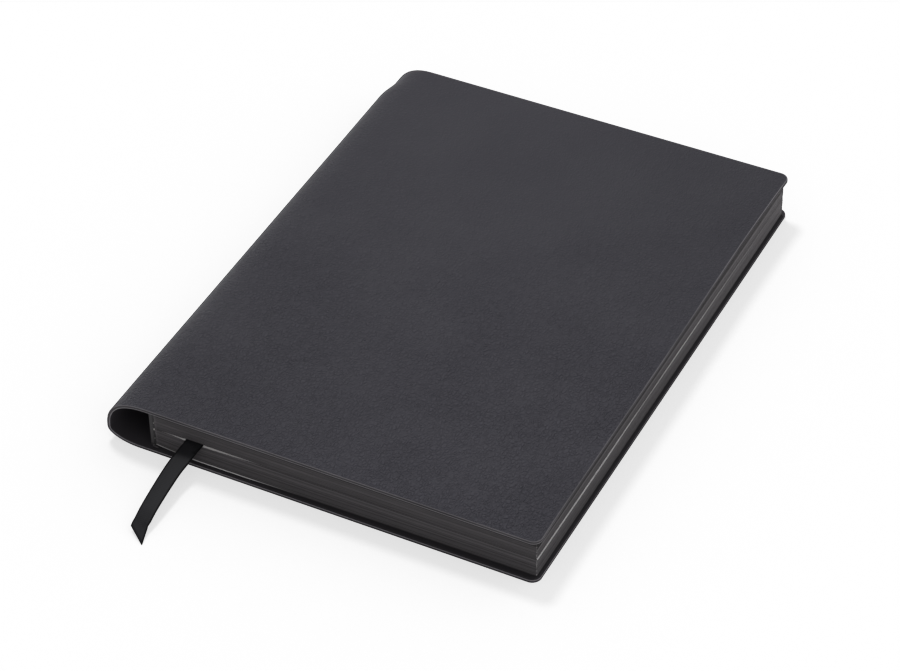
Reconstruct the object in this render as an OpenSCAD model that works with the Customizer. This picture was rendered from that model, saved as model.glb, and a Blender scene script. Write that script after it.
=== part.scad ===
// Closed notebook with a limp cover, a hollow rolled spine and a ribbon marker.
// It lies on its back cover: X runs from the spine to the fore edge, Y from tail
// to head and Z up. The origin is under the middle of the covers.

/* [Leaves] */
// Width of the leaves, from the spine to the fore edge
page_w = 146; // [100:1:220]
// Height of the leaves, from tail to head
page_h = 210; // [150:1:300]
// Thickness of all the leaves together
page_t = 16; // [12:0.5:26]

/* [Cover sheet] */
// Thickness of the cover sheet
cover_t = 1.1; // [0.8:0.1:1.8]
// How far the covers stand past the leaves at head and tail
end_overhang = 2.5; // [1:0.1:6]
// How far the covers stand past the leaves at the fore edge
fore_overhang = 1.3; // [0.5:0.1:6]
// Radius of the covers' two outer corners
corner_r = 3.5; // [2:0.5:12]

/* [Endpapers] */
// Thickness of an endpaper
endpaper_t = 0.2; // [0.1:0.05:0.4]
// How far a pasted endpaper stays inside the cover's edges
paste_inset = 0.8; // [0.4:0.1:1.5]
// Clearance between a pasted endpaper and its loose leaf
leaf_clear = 0.05; // [0.05:0.05:0.3]

/* [Rolled spine] */
// Depth of the roll, from the leaves to its outermost line
roll_depth = 17.7; // [14:0.1:24]
// Height of the roll's outermost line above the table
roll_level = 5.5; // [4:0.1:8]
// Flat stretch of the sheet between the hinge line and the roll's shoulder
shoulder_flat = 0.7; // [0.5:0.1:3]
// Squareness of the shoulder, where 2 is a plain ellipse
shoulder_power = 2.5; // [2:0.1:3.5]
// Depth of the roll's foot, from its outermost line to where it lies flat
foot_depth = 12.5; // [7:0.5:13]
// Clearance between the roll and a cover at the hinge line
hinge_gap = 0.3; // [0.2:0.1:1]

/* [Squeezed head end] */
// How far the shoulder is pressed in at the head end
dent_depth = 1.5; // [0:0.1:3]
// Length of the pressed stretch, from the head end
dent_reach = 15.5; // [8:0.5:40]
// Length over which the sheet slopes down to the full dent
dent_slope = 10.5; // [4:0.5:40]

/* [Spine lining] */
// Thickness of the glued cloth on the backs of the leaves
mull_t = 0.6; // [0.3:0.1:1.2]
// Thickness of the card lining on the cloth
lining_t = 1.2; // [0.5:0.1:2.5]
// Clearance between the lining's edges and the cover sheet
lining_clear = 0.1; // [0.05:0.05:0.3]

/* [Ribbon marker] */
// Width of the ribbon
ribbon_w = 6; // [3:0.5:10]
// Thickness of the ribbon
ribbon_t = 0.35; // [0.2:0.05:0.5]
// Distance from the spine side of the leaves to the ribbon's middle at the tail
ribbon_in = 16; // [12:0.5:30]
// Height of the ribbon's middle above the back of the leaves
ribbon_level = 7.45; // [6:0.05:9]
// Clearance between the ribbon and the parted leaves, above and below it
slit_clear = 0.1; // [0.05:0.05:0.4]
// Clearance between the ribbon's edges and the sides of its slit
slit_side = 0.5; // [0.2:0.1:2]
// Width of leaf left round the slit at the ribbon's glued end
root_wall = 0.5; // [0.3:0.1:2]

/* [Parted leaves] */
// Height of the gap that shows at the edges of the leaves
gap_t = 0.3; // [0.2:0.05:0.6]
// How deep the gap runs into the leaves
gap_depth = 5; // [2:0.5:15]
// Length of the gap along the tail, towards the fore edge from the ribbon
gap_tail_run = 28; // [5:1:40]
// Length of the gap along the fore edge, from the tail
gap_fore_run = 148; // [10:1:148]

/* [Hidden] */

// Sizes of the whole
total_w = roll_depth + page_w + fore_overhang;
cover_h = page_h + 2 * end_overhang;
end_stack = cover_t + endpaper_t + leaf_clear + endpaper_t;
total_t = page_t + 2 * end_stack;

// Lines across the width
fore_x = total_w / 2;
roll_x = -total_w / 2;
hinge_x = roll_x + roll_depth;
page_fore_x = hinge_x + page_w;

// Lines along the height
tail_y = -cover_h / 2;
head_y = cover_h / 2;
page_tail_y = -page_h / 2;
page_head_y = page_h / 2;

// Levels above the table
page_z = end_stack;
leaf_low_z = page_z - endpaper_t;
leaf_top_z = page_z + page_t;
paste_low_z = cover_t;
paste_top_z = total_t - cover_t - endpaper_t;

// Half the length and height of the shoulder's curve
shoulder_a = roll_depth - shoulder_flat;
shoulder_b = total_t - roll_level;

// Steps round each quarter of the roll, and along the slope of its dent
ROLL_STEPS = 16;
DENT_STEPS = 6;

// Level of the ribbon between the leaves, and its middle where it leaves the tail
ribbon_z = page_z + ribbon_level;
mouth_x = hinge_x + ribbon_in;
mouth_y = page_tail_y - ribbon_t;
// The ribbon's glued end, in the corner between the spine and the head
root_x = hinge_x + root_wall + slit_side + ribbon_w / 2;
root_y = page_head_y - root_wall - slit_side;

// The ribbon's free stretch from its end up to the leaves: X and Y from its mouth,
// and height above the table
RIBBON_FREE = [
    [0.6, -40.2, 1.2],
    [-0.1, -37.0, 2.2],
    [-0.1, -35.4, 2.8],
    [-0.3, -31.5, 4.0],
    [-0.5, -28.0, 4.7],
    [-0.7, -24.1, 5.3],
    [-1.0, -18.4, 6.0],
    [-1.2, -12.2, 6.7],
    [-0.9, -6.9, 7.4],
    [-0.4, -2.5, 8.3],
];
// Slant of the free end, from the middle to the longer and lower right corner
RIBBON_SLANT = [0.4, -2.2, -0.8];
// Rings along the hidden stretch, about two and a half widths apart
HIDDEN_STEPS = 14;

// Colours
LEATHER = "#3e3e42";
PAPER_BLACK = "#1c1c1e";
LEAF_EDGE = "#48464a";
CLOTH = "#6a6a6a";
CARD = "#46464a";
SATIN = "#26262a";

$fn = 64;

function smooth(t) = let (u = min(1, max(0, t))) u * u * (3 - 2 * u);
function unit(v) = v / norm(v);
function mix(a, b, t) = a + (b - a) * t;

// Share of the dent at a place along the spine: 0 up to the dent, 1 at the head
function dent_share(y) = smooth((y - (head_y - dent_reach)) / dent_slope);

// Outer line of the sheet, from the front hinge over the shoulder and down
function shoulder_line() = [
    for (i = [0:ROLL_STEPS])
        let (a = 90 * (1 - i / ROLL_STEPS))
        [hinge_x - shoulder_flat - shoulder_a * pow(cos(a), 2 / shoulder_power),
         roll_level + shoulder_b * pow(sin(a), 2 / shoulder_power)]
];

// Outer line of the foot, from the outermost line down and in to the table
function foot_line() = [
    for (i = [1:ROLL_STEPS])
        let (a = 90 * i / ROLL_STEPS)
        [roll_x + foot_depth * (1 - cos(a)), roll_level * (1 - sin(a))]
];

function outer_line() = concat(
    [[hinge_x - hinge_gap, total_t]],
    shoulder_line(),
    foot_line(),
    [[hinge_x - hinge_gap, 0]]
);

// Direction into the roll at one point of a line that runs anticlockwise
function inward(line, i) =
    let (last = len(line) - 1)
    i == 0 ? [0, -1] :
    i == last ? [0, 1] :
    let (along = unit(line[i + 1] - line[i - 1]))
    [-along[1], along[0]];

// How far a point of the outer line is pressed in where the dent is full
function dent_at(i) =
    i > 0 && i <= ROLL_STEPS + 1 ? dent_depth * sin(180 * (i - 1) / ROLL_STEPS) : 0;

// The sheet's section at one place along the spine, as one closed ring
function sheet_ring(y) =
    let (line = outer_line(),
         pressed = [for (i = [0:len(line) - 1])
                    line[i] + inward(line, i) * dent_at(i) * dent_share(y)],
         inner = [for (i = [len(line) - 1:-1:0])
                  pressed[i] + inward(pressed, i) * cover_t])
    [for (p = concat(pressed, inner)) [p[0], y, p[1]]];

// A closed solid through rings of equally many points, from low Y to high Y. A ring
// runs along one side of a strip and back along the other, so its ends close as a strip
module loft(rings) {
    n = len(rings[0]);
    last = (len(rings) - 1) * n;
    sides = [
        for (i = [0:len(rings) - 2], j = [0:n - 1])
            let (a = i * n + j, b = i * n + (j + 1) % n)
            each [[a, b, b + n], [a, b + n, a + n]]
    ];
    pairs = [0:n / 2 - 2];
    low_end = [for (j = pairs) [n - 1 - j, n - 2 - j, j + 1, j]];
    high_end = [for (j = pairs) [last + j, last + j + 1, last + n - 2 - j, last + n - 1 - j]];
    polyhedron([for (ring = rings) each ring], concat(sides, low_end, high_end));
}

// A plate from the hinge line to the fore edge, with two round outer corners
module board(x0, inset, thickness) {
    w = fore_x - inset - x0;
    h = cover_h - 2 * inset;
    r = max(corner_r - inset, 0.5);
    translate([x0, -h / 2, 0])
        linear_extrude(thickness)
            union() {
                square([w - r, h]);
                translate([w - 2 * r, r]) square([2 * r, h - 2 * r]);
                translate([w - r, r]) circle(r);
                translate([w - r, h - r]) circle(r);
            }
}

// One loose leaf over the whole size of the leaves
module leaf(thickness) {
    translate([hinge_x, page_tail_y, 0]) cube([page_w, page_h, thickness]);
}

module front_cover() {
    color(LEATHER) translate([0, 0, total_t - cover_t]) board(hinge_x, 0, cover_t);
}

module back_cover() {
    color(LEATHER) board(hinge_x, 0, cover_t);
}

module spine() {
    stations = concat(
        [tail_y],
        [for (i = [0:DENT_STEPS]) head_y - dent_reach + dent_slope * i / DENT_STEPS],
        dent_slope < dent_reach ? [head_y] : []
    );
    color(LEATHER) loft([for (y = stations) sheet_ring(y)]);
}

module front_pastedown() {
    color(PAPER_BLACK)
        translate([0, 0, paste_top_z]) board(hinge_x + hinge_gap, paste_inset, endpaper_t);
}

module back_pastedown() {
    color(PAPER_BLACK)
        translate([0, 0, paste_low_z]) board(hinge_x + hinge_gap, paste_inset, endpaper_t);
}

module front_flyleaf() {
    color(PAPER_BLACK) translate([0, 0, leaf_top_z]) leaf(endpaper_t);
}

module back_flyleaf() {
    color(PAPER_BLACK) translate([0, 0, leaf_low_z]) leaf(endpaper_t);
}

// The slit that the hidden ribbon lies in, open at the tail
module ribbon_slit() {
    mouth = [mouth_x, mouth_y];
    root = [root_x, root_y];
    along = unit(root - mouth);
    across = [along[1], -along[0]] * (ribbon_w / 2 + slit_side);
    outside = mouth - along * ribbon_w;
    inside = root + along * slit_side;
    height = ribbon_t + 2 * slit_clear;
    translate([0, 0, ribbon_z - height / 2])
        linear_extrude(height)
            polygon([outside - across, outside + across, inside + across, inside - across]);
}

// The narrow gap where the ribbon parts the leaves at the tail and the fore edge
module leaf_gap() {
    translate([0, 0, ribbon_z - gap_t / 2]) {
        translate([mouth_x, page_tail_y - gap_depth, 0])
            cube([gap_tail_run, 2 * gap_depth, gap_t]);
        translate([page_fore_x - gap_depth, page_tail_y - gap_depth, 0])
            cube([2 * gap_depth, gap_depth + gap_fore_run, gap_t]);
    }
}

module pages() {
    color(LEAF_EDGE)
        difference() {
            translate([0, 0, page_z]) leaf(page_t);
            ribbon_slit();
            leaf_gap();
        }
}

module spine_mull() {
    color(CLOTH)
        translate([hinge_x - mull_t, page_tail_y, leaf_low_z])
            cube([mull_t, page_h, page_t + 2 * endpaper_t]);
}

module spine_lining() {
    low_z = cover_t + lining_clear;
    color(CARD)
        translate([hinge_x - mull_t - lining_t, page_tail_y, low_z])
            cube([lining_t, page_h, total_t - 2 * low_z]);
}

// The ribbon's middle line from its free end to its glued end
function ribbon_route() =
    let (mouth = [mouth_x, mouth_y, ribbon_z],
         root = [root_x, root_y, ribbon_z])
    concat(
        [for (p = RIBBON_FREE) [mouth_x + p[0], mouth_y + p[1], p[2]]],
        [for (i = [0:HIDDEN_STEPS]) mix(mouth, root, i / HIDDEN_STEPS)]
    );

// The ribbon's flat section at one point of its route
function ribbon_ring(route, i) =
    let (last = len(route) - 1,
         ahead = route[min(i + 1, last)] - route[max(i - 1, 0)],
         flat = unit([ahead[1], -ahead[0], 0]),
         up = unit(cross(flat, ahead)) * ribbon_t / 2,
         half = flat * ribbon_w / 2 + (i == 0 ? RIBBON_SLANT : [0, 0, 0]))
    [route[i] - half - up, route[i] + half - up,
     route[i] + half + up, route[i] - half + up];

module ribbon_marker() {
    route = ribbon_route();
    color(SATIN) loft([for (i = [0:len(route) - 1]) ribbon_ring(route, i)]);
}

front_cover();
back_cover();
spine();
front_pastedown();
back_pastedown();
front_flyleaf();
back_flyleaf();
pages();
spine_mull();
spine_lining();
ribbon_marker();
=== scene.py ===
"""Closed notebook: a limp cover round a hollow rolled spine, dark page edges and a ribbon."""

import math

import bmesh
import bpy
import numpy as np
from mathutils import Matrix, Vector


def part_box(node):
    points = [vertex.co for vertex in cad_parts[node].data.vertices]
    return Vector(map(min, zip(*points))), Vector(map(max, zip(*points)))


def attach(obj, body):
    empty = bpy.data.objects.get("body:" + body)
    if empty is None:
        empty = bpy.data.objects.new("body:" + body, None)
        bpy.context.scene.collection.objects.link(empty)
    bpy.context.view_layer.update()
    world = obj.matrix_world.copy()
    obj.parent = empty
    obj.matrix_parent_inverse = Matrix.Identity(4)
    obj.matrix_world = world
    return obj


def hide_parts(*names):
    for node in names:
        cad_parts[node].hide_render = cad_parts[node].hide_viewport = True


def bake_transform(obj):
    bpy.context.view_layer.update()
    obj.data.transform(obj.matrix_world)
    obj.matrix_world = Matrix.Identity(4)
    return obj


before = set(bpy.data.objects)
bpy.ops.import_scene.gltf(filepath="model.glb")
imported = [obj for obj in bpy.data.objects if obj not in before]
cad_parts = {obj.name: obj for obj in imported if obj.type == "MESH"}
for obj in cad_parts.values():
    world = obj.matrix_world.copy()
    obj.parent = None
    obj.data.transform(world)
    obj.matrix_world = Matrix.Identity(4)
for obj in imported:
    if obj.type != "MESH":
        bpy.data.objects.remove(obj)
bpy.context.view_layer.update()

MM = 0.001
# Places closer than this are the same
SAME = 1e-6

# Bodies
BLOCK = "book_block"
FRONT = "front_board"
BACK = "back_board"

# Planes of the book, read from the frame
cover_low, cover_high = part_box("front_cover")
pages_low, pages_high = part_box("pages")
paste_low, paste_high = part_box("front_pastedown")
back_paste_low, back_paste_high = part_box("back_pastedown")
leaf_low, leaf_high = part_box("front_flyleaf")
back_leaf_low, back_leaf_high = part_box("back_flyleaf")
spine_low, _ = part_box("spine")

TOP_Z = cover_high.z
COVER_T = cover_high.z - cover_low.z
FORE_X = cover_high.x
HINGE_X = pages_low.x
ROLL_X = spine_low.x
HALF_H = cover_high.y
PAPER_T = paste_high.z - paste_low.z

# Cover sheet
CORNER_R = 3.5 * MM
EDGE_R = 0.28 * MM
INNER_EDGE_R = 0.1 * MM
# Where the roll's sheet meets the back cover under the leaves
SEAM_X = HINGE_X - 0.2 * MM
# Distances between columns of points: on the covers, at the hinge and on the roll
GRID_STEP = 1.25 * MM
HINGE_STEP = 0.3 * MM
ROLL_STEP = 0.7 * MM
# Length over which a cover bends when it opens
BEND_LENGTH = 3 * MM
# Length with close columns before the hinge, as a share of the bend
BEND_ROOM = 1.2

# Rolled spine, as a square shoulder over a round foot
ROLL_LEVEL = 5.5 * MM
SHOULDER_FLAT = 0.7 * MM
SHOULDER_POWER = 2.5
FOOT_DEPTH = 12.5 * MM
# The dent at the head end: its depth, and how far in it starts and slopes down
DENT_DEPTH = 1.35 * MM
# Over 1, this moves the deepest place down from the shoulder's middle
DENT_LOW = 1.6
DENT_REACH = 15.5 * MM
DENT_SLOPE = 10.5 * MM
SECTION_STEPS = 400

# Ribbon, with the place of its mouth in millimetres
RIBBON_W = 6 * MM
RIBBON_T = 0.35 * MM
RIBBON_LEVEL = 9.0
MOUTH_Y = -105.35

# Camera, solved from the photograph's edges, with angles in degrees
CAM_AT = (0.01 * MM, -8.09 * MM, 0)
CAM_DISTANCE = 1155.18 * MM
CAM_AZIMUTH = 27.696
CAM_ELEVATION = 41.043
CAM_ROLL = -1.296
CAM_LENS = 128.71
CAM_SENSOR = 36
CAM_CLIP = (0.05, 20)


def smooth(t):
    """Eases from 0 to 1"""
    t = np.clip(t, 0, 1)
    return t * t * (3 - 2 * t)


def bell(t):
    """A smooth hump, 1 at 0 and 0 from 1 on"""
    return smooth(1 - np.abs(t))


def run_length(points):
    """The length along a line of points, up to each of them"""
    return np.concatenate([[0], np.cumsum(np.linalg.norm(np.diff(points, axis=0), axis=1))])


def unit(vectors):
    """The same directions, with length 1"""
    return vectors / np.linalg.norm(vectors, axis=1)[:, None]


# Camera


def make_camera():
    """A long lens that looks down on the notebook from its tail and fore edge"""
    data = bpy.data.cameras.new("camera")
    data.sensor_fit = "HORIZONTAL"
    data.sensor_width = CAM_SENSOR
    data.lens = CAM_LENS
    data.clip_start, data.clip_end = CAM_CLIP
    cam = bpy.data.objects.new("camera", data)
    bpy.context.scene.collection.objects.link(cam)
    az, el, roll = (math.radians(a) for a in (CAM_AZIMUTH, CAM_ELEVATION, CAM_ROLL))
    back = Vector((math.sin(az) * math.cos(el), -math.cos(az) * math.cos(el), math.sin(el)))
    level = Vector((math.cos(az), math.sin(az), 0))
    upright = back.cross(level)
    right = math.cos(roll) * level + math.sin(roll) * upright
    up = math.cos(roll) * upright - math.sin(roll) * level
    turn = Matrix((right, up, back)).transposed().to_4x4()
    cam.matrix_world = Matrix.Translation(Vector(CAM_AT) + back * CAM_DISTANCE) @ turn
    bpy.context.scene.camera = cam


# Node trees

# A colour Mix node's inputs, for the share and the two colours, and its output
MIX_SHARE, MIX_A, MIX_B, MIX_RESULT = 0, 6, 7, 2
PLAIN_SPECULAR = 0.5


def new_material(name):
    """A material with its Principled shader"""
    material = bpy.data.materials.new(name)
    material.use_nodes = True
    return material, material.node_tree, material.node_tree.nodes["Principled BSDF"]


def feed(tree, target, value):
    """Links a socket to an input, or sets the input to a plain value"""
    if isinstance(value, bpy.types.NodeSocket):
        tree.links.new(value, target)
    else:
        target.default_value = value


def node(tree, kind, inputs=None, **settings):
    """Adds a node, sets its properties and its inputs: values, or sockets to link"""
    made = tree.nodes.new(kind)
    for key, value in settings.items():
        setattr(made, key, value)
    for key, value in (inputs or {}).items():
        feed(tree, made.inputs[key], value)
    return made


def math_node(tree, operation, a, b=0.0, clamp=False):
    """One Math node's result"""
    made = node(tree, "ShaderNodeMath", {0: a, 1: b}, operation=operation, use_clamp=clamp)
    return made.outputs[0]


def times(tree, a, b, clamp=False):
    """The product of two values"""
    return math_node(tree, "MULTIPLY", a, b, clamp)


def plus(tree, *values, clamp=False):
    """The sum of two or more values"""
    total = values[0]
    for value in values[1:-1]:
        total = math_node(tree, "ADD", total, value)
    return math_node(tree, "ADD", total, values[-1], clamp)


def weighted(tree, *terms):
    """The sum of values, each times its share"""
    return plus(tree, *(times(tree, value, share) for value, share in terms))


def vector_math(tree, operation, a, b):
    """One Vector Math node"""
    return node(tree, "ShaderNodeVectorMath", {0: a, 1: b}, operation=operation)


def ramp(tree, value, low, high, to_low=0.0, to_high=1.0):
    """Maps a value from one range to another, with ends held"""
    made = node(
        tree,
        "ShaderNodeMapRange",
        {"Value": value, "From Min": low, "From Max": high, "To Min": to_low, "To Max": to_high},
        interpolation_type="SMOOTHSTEP",
    )
    return made.outputs["Result"]


def noise(tree, where, size, detail=2.0, rough=0.5):
    """Noise with features of about one size, in metres"""
    made = node(
        tree,
        "ShaderNodeTexNoise",
        {"Vector": where, "Scale": 1 / size, "Detail": detail, "Roughness": rough},
    )
    return made.outputs["Fac"]


def cells(tree, where, size, feature="DISTANCE_TO_EDGE"):
    """Distance inside Voronoi cells of one size, in metres"""
    made = node(
        tree, "ShaderNodeTexVoronoi", {"Vector": where, "Scale": 1 / size}, feature=feature
    )
    return made.outputs["Distance"]


def sheet_place(tree):
    """The point's place on the flat, uncut sheet"""
    return node(tree, "ShaderNodeAttribute", attribute_name="place").outputs["Vector"]


def object_place(tree):
    """The point's place in the book's frame"""
    return node(tree, "ShaderNodeTexCoord").outputs["Object"]


def split(tree, where):
    """X, Y and Z of a place"""
    return tuple(node(tree, "ShaderNodeSeparateXYZ", {0: where}).outputs)


def stretched(tree, where, shares):
    """Places drawn out along an axis where its share is under 1"""
    return vector_math(tree, "MULTIPLY", where, shares).outputs[0]


def warped(tree, where, size, amount):
    """Places shifted by noise, so that lines and cells wander"""
    shift = node(tree, "ShaderNodeTexNoise", {"Vector": where, "Scale": 1 / size, "Detail": 2.0})
    centred = vector_math(tree, "SUBTRACT", shift.outputs["Color"], (0.5, 0.5, 0.5)).outputs[0]
    scaled = vector_math(tree, "MULTIPLY", centred, (amount, amount, amount)).outputs[0]
    return vector_math(tree, "ADD", where, scaled).outputs[0]


def mix_colours(tree, share, a, b):
    """A colour between two, each RGB or a socket, by a share from 0 to 1"""
    made = node(tree, "ShaderNodeMix", data_type="RGBA")
    feed(tree, made.inputs[MIX_SHARE], share)
    for number, colour in ((MIX_A, a), (MIX_B, b)):
        feed(tree, made.inputs[number], (*colour, 1) if isinstance(colour, tuple) else colour)
    return made.outputs[MIX_RESULT]


def bump(tree, shader, height, distance):
    """Feeds a height from 0 to 1 to the shader as relief of a real depth, in metres"""
    made = node(tree, "ShaderNodeBump", {"Height": height, "Distance": distance, "Strength": 1.0})
    tree.links.new(made.outputs["Normal"], shader.inputs["Normal"])


def surface(tree, shader, colour, roughness, specular=PLAIN_SPECULAR):
    """Gives the shader its colour, roughness and specular level"""
    feed(tree, shader.inputs["Base Color"], colour)
    feed(tree, shader.inputs["Roughness"], roughness)
    feed(tree, shader.inputs["Specular IOR Level"], specular)


# Materials

# Leather: the depth of its relief, and its share near the head and at the fore edge
GRAIN_DEPTH = 0.9 * MM
GRAIN_AT_HEAD = 0.27
GRAIN_AT_FORE = 0.25
GRAIN_FORE_WIDTH = 90 * MM
# The grain runs longer along the spine than across it
GRAIN_STRETCH = (1.0, 0.62, 1.0)
# How the grain wanders: the size of the bends, and how far they reach
GRAIN_BENDS = (1.6 * MM, 0.9 * MM)
CREASE_BENDS = (3 * MM, 2 * MM)
PEBBLE = 1.1 * MM
LUMP = 2.1 * MM
CREASE = 2.2 * MM
CREASE_PATCH = 24 * MM
PORE = 0.45 * MM
CLOUD = 45 * MM
PEBBLE_HEIGHT = 0.3
LUMP_HEIGHT = 0.65
PORE_HEIGHT = 0.2
CREASE_HEIGHT = -0.12
# How the height of the grain turns into lighter and darker spots: the grain's own mottling, with
# painted shade in its hollows and creases and painted light on its tops
MOTTLE_AND_SHADE_GAIN = 1.6
MOTTLE_AND_SHADE_MIDDLE = -0.9
MOTTLE_AND_SHADE_TONE = 0.4
# The tone: its middle and its clouds, then painted light and shade: lighter at the tail than at the
# head, lighter at the fore edge than by the spine, and a stronger tail-to-head change near the fore
# edge
LEATHER_TONE = 0.46
CLOUD_TONE = 0.08
TAIL_TO_HEAD_SHADING = (0.08, -0.05)
SPINE_TO_FORE = (60 * MM, 140 * MM)
SPINE_TO_FORE_SHADING = (0.05, -0.03)
FORE_TAIL_TO_HEAD_SHADING = (0.24, -0.17)
FORE_SHADING_ACROSS = (20 * MM, 130 * MM)
LEATHER_COLOURS = ((0.0191, 0.0184, 0.0241), (0.0373, 0.0357, 0.0455))


def cover_leather():
    """Dark imitation leather: a fine pebbled grain with wrinkles, strongest near the tail"""
    material, tree, shader = new_material("cover_leather")
    flat = sheet_place(tree)
    x, y, _ = split(tree, flat)
    drawn = stretched(tree, flat, GRAIN_STRETCH)
    wander = warped(tree, drawn, *GRAIN_BENDS)
    pebbles = ramp(tree, cells(tree, wander, PEBBLE), 0.0, 0.3)
    lumps = noise(tree, wander, LUMP, 2.0, 0.55)
    lines = cells(tree, warped(tree, drawn, *CREASE_BENDS), CREASE)
    patches = ramp(tree, noise(tree, flat, CREASE_PATCH, 1.0), 0.4, 0.65)
    creases = times(tree, ramp(tree, lines, 0.0, 0.1, 1.0, 0.0), patches)
    pores = noise(tree, drawn, PORE, 2.0, 0.6)
    height = weighted(
        tree,
        (pebbles, PEBBLE_HEIGHT), (lumps, LUMP_HEIGHT), (pores, PORE_HEIGHT), (creases, CREASE_HEIGHT),
    )
    along = ramp(tree, y, -HALF_H, HALF_H, 1.0, GRAIN_AT_HEAD)
    near_fore = ramp(tree, x, 0.0, GRAIN_FORE_WIDTH, GRAIN_AT_FORE, 0.0)
    uneven = ramp(tree, noise(tree, flat, CLOUD), 0.3, 0.7, 0.9, 1.1)
    strength = times(tree, plus(tree, along, near_fore), uneven)
    bump(tree, shader, times(tree, height, strength), GRAIN_DEPTH)
    cloud = noise(tree, flat, CLOUD, 3.0, 0.55)
    # Grain mottling, with painted shade in the hollows and creases of the relief
    mottle_and_shade = times(tree, plus(tree, times(tree, height, MOTTLE_AND_SHADE_GAIN), MOTTLE_AND_SHADE_MIDDLE), strength)
    # Painted light and shade: lighter at the tail and darker at the head, most near the fore edge
    wear_and_shading = ramp(tree, y, -HALF_H, HALF_H, *FORE_TAIL_TO_HEAD_SHADING)
    wear_and_shading = times(tree, wear_and_shading, ramp(tree, x, *FORE_SHADING_ACROSS, 1.0, 0.0))
    # The tone takes the painted light and shade ramps along with the clouds and the grain
    tone = plus(
        tree,
        times(tree, cloud, CLOUD_TONE),
        LEATHER_TONE,
        ramp(tree, y, -HALF_H, HALF_H, *TAIL_TO_HEAD_SHADING),
        ramp(tree, x, *SPINE_TO_FORE, *SPINE_TO_FORE_SHADING),
        wear_and_shading,
        times(tree, mottle_and_shade, MOTTLE_AND_SHADE_TONE),
        clamp=True,
    )
    roughness = ramp(tree, cloud, 0.3, 0.7, 0.58, 0.65)
    surface(tree, shader, mix_colours(tree, tone, *LEATHER_COLOURS), roughness, 0.18)
    return material


# Cut edge: where each paler arris starts and ends, as shares of the sheet's thickness. The inner one is
# worn; the outer one is worn and also carries a painted highlight, brighter at the head
OUTER_ARRIS = (0.82, 0.92)
INNER_ARRIS = (0.15, 0.28)
OUTER_WEAR_AND_HIGHLIGHT = 0.35
OUTER_HIGHLIGHT_AT_HEAD = 1.6
INNER_WEAR_REACH = 40 * MM
INNER_WEAR_FAR = 0.3
CUT_COLOURS = ((0.034, 0.032, 0.0355), (0.25, 0.238, 0.255))


def cut_edge():
    """The cover sheet's cut edge: a dark core between two paler arrises, the inner one worn, the outer
    one worn and with a painted highlight
    """
    material, tree, shader = new_material("cut_edge")
    flat = sheet_place(tree)
    _, y, level = split(tree, flat)
    outer_low, outer_high = (share * COVER_T for share in OUTER_ARRIS)
    inner_low, inner_high = (share * COVER_T for share in INNER_ARRIS)
    # Painted highlight on the worn outer arris, stronger towards the head
    outer = ramp(tree, level, outer_low, outer_high, 0.0, OUTER_WEAR_AND_HIGHLIGHT)
    outer = times(tree, outer, ramp(tree, y, 0.0, HALF_H, 1.0, OUTER_HIGHLIGHT_AT_HEAD))
    inner = ramp(tree, level, inner_low, inner_high, 1.0, 0.0)
    near_tail = ramp(tree, y, -HALF_H, -HALF_H + INNER_WEAR_REACH, 1.0, INNER_WEAR_FAR)
    inner = times(tree, inner, near_tail)
    fibres = noise(tree, flat, 0.25 * MM, 4.0, 0.65)
    stretches = ramp(tree, noise(tree, flat, 30 * MM, 1.0), 0.35, 0.65, 0.0, 0.12)
    share = plus(tree, outer, inner, stretches)
    share = times(tree, share, plus(tree, fibres, 0.5), clamp=True)
    bump(tree, shader, fibres, 0.04 * MM)
    surface(tree, shader, mix_colours(tree, share, *CUT_COLOURS), 0.8, 0.12)
    return material


def plain_material(name, find_place, grain, colours, relief, roughness, specular=PLAIN_SPECULAR):
    """A material whose colour and relief follow one noise, given by its size, detail and roughness"""
    material, tree, shader = new_material(name)
    fuzz = noise(tree, find_place(tree), *grain)
    bump(tree, shader, fuzz, relief)
    surface(tree, shader, mix_colours(tree, fuzz, *colours), roughness, specular)
    return material


def sheet_backing():
    """Black cloth backing on the inside of the cover sheet"""
    colours = (0.026, 0.0235, 0.0275), (0.048, 0.044, 0.05)
    return plain_material(
        "sheet_backing", sheet_place, (0.2 * MM, 4.0, 0.7), colours, 0.08 * MM, 0.95, 0.15
    )


def black_paper():
    """Matte black endpaper with faint fibres"""
    material, tree, shader = new_material("black_paper")
    flat = sheet_place(tree)
    fibres = noise(tree, flat, 0.5 * MM, 5.0, 0.7)
    cloud = noise(tree, flat, 12 * MM, 3.0, 0.6)
    tone = times(tree, plus(tree, fibres, cloud), 0.5)
    colour = mix_colours(tree, tone, (0.0135, 0.0122, 0.0142), (0.024, 0.022, 0.0252))
    bump(tree, shader, fibres, 0.02 * MM)
    surface(tree, shader, colour, 0.85, 0.25)
    return material


# Leaf edges: how the leaf, its fibres and slow clouds share in the dye, from dark to pale
LEAF_SHARE = 0.45
STREAK_SHARE = 0.25
CLOUD_SHARE = 0.15
STREAK = 0.35 * MM
STREAK_STRETCH = (0.12, 1.0, 1.0)
DYED_COLOURS = ((0.02, 0.0185, 0.02), (0.165, 0.155, 0.163))
PAPER_COLOURS = ((0.84, 0.82, 0.83), (0.93, 0.91, 0.92))
# Glue soaks into the leaves from the spine up to here
SOAK = (0.9 * MM, 1.3 * MM)
SOAK_SHARE = 0.15


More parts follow.
